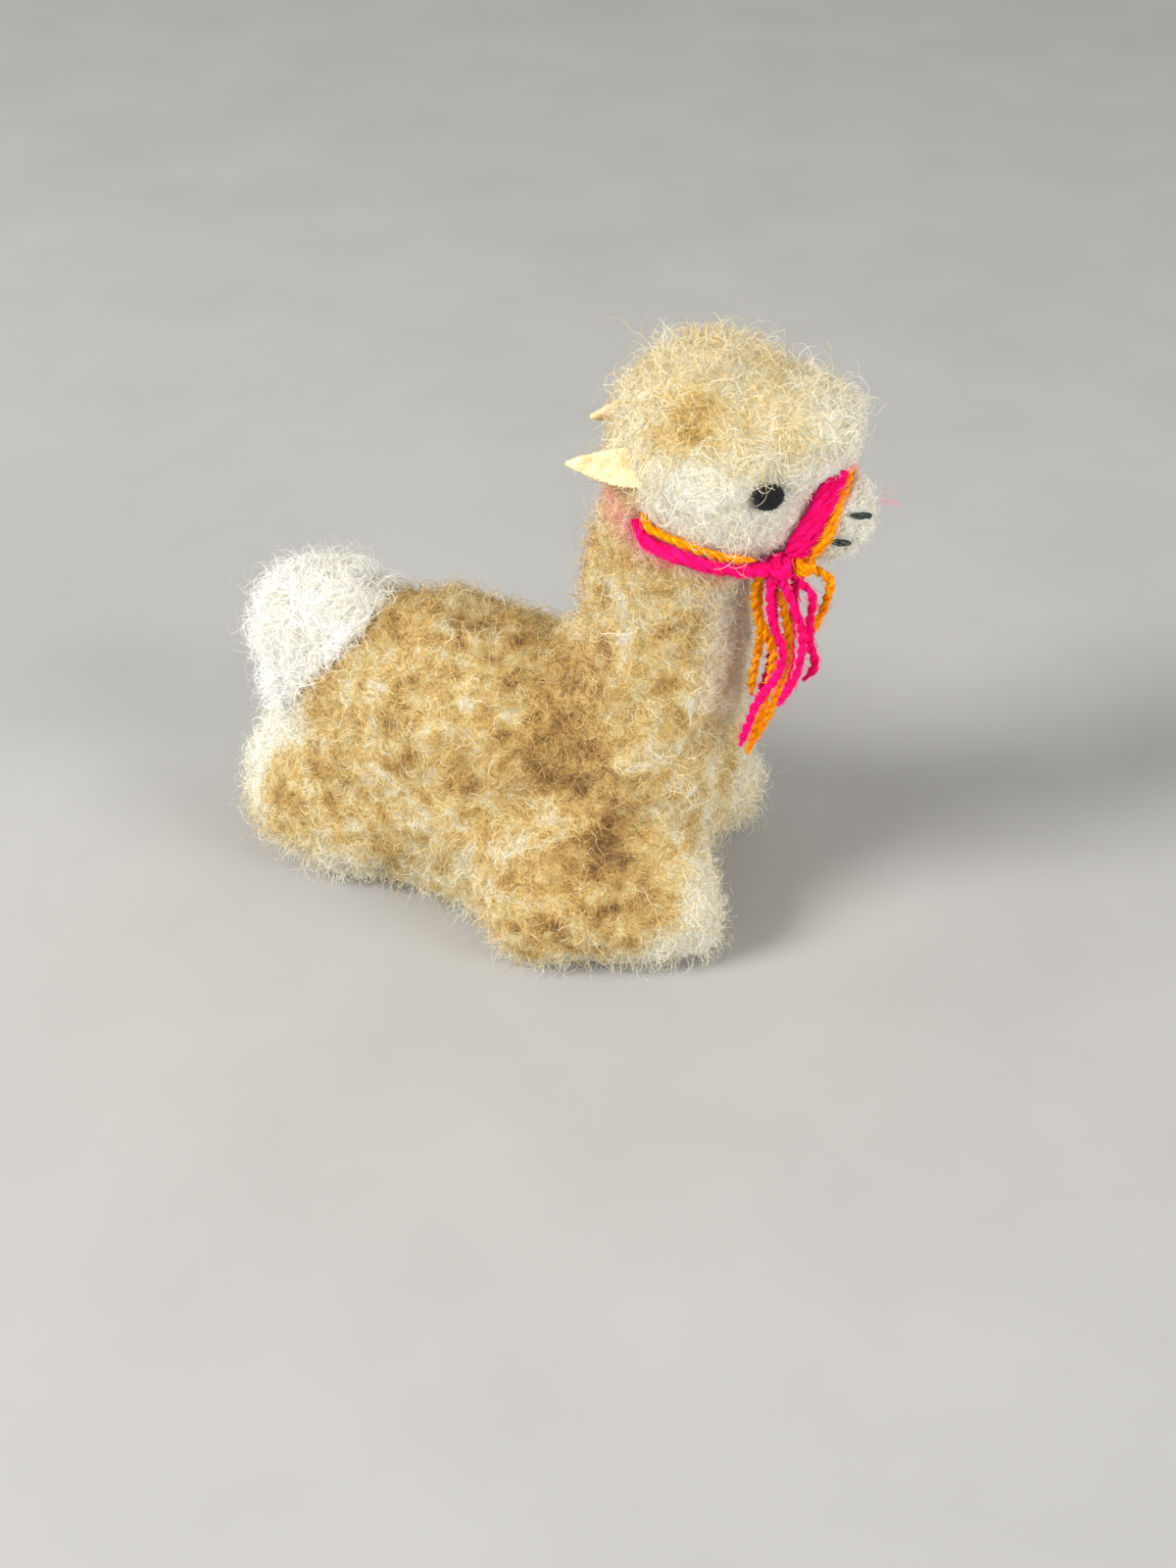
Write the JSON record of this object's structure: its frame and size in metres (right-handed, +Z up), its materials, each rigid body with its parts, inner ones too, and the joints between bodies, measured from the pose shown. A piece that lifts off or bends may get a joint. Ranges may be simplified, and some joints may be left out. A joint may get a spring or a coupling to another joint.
{
  "type": "fleece llama figure",
  "caption": "Small souvenir llama of stuffed curly fleece, lying with its legs under it, with a loose white tail tuft, hide ears, felt eyes and a knotted yarn halter that ends in a tassel.",
  "frame": {"origin": "on the flat underside, in the llama's plane of symmetry, under the middle of its length", "axes": "+X forwards, the way the llama faces; +Y to its left; +Z up"},
  "size_m": [0.1116, 0.0726, 0.1062],
  "materials": {
    "fleece": "cream and tan curly fleece",
    "white_fleece": "white curly fleece",
    "hide": "raw cream hide",
    "felt": "black felt",
    "thread": "black embroidery thread",
    "pink_yarn": "twisted wool yarn",
    "orange_yarn": "twisted wool yarn"
  },
  "bodies": {
    "root": {"fleece_body": "fleece", "tail_tuft": "white_fleece", "ear_right": "hide", "ear_left": "hide", "eye_right": "felt", "eye_left": "felt", "mouth_stitch_right": "thread", "mouth_stitch_left": "thread", "chin_stitch": "thread", "halter_knot_pink": "pink_yarn", "noseband_pink_1": "pink_yarn", "noseband_pink_2": "pink_yarn", "neckband_pink": "pink_yarn", "tassel_pink_1": "pink_yarn", "tassel_pink_2": "pink_yarn", "tassel_pink_3": "pink_yarn", "tassel_pink_4": "pink_yarn", "tassel_pink_5": "pink_yarn", "halter_knot_orange": "orange_yarn", "noseband_orange": "orange_yarn", "neckband_orange": "orange_yarn", "tassel_orange_1": "orange_yarn", "tassel_orange_2": "orange_yarn", "tassel_orange_3": "orange_yarn", "tassel_orange_4": "orange_yarn"}
  },
  "joints": []
}
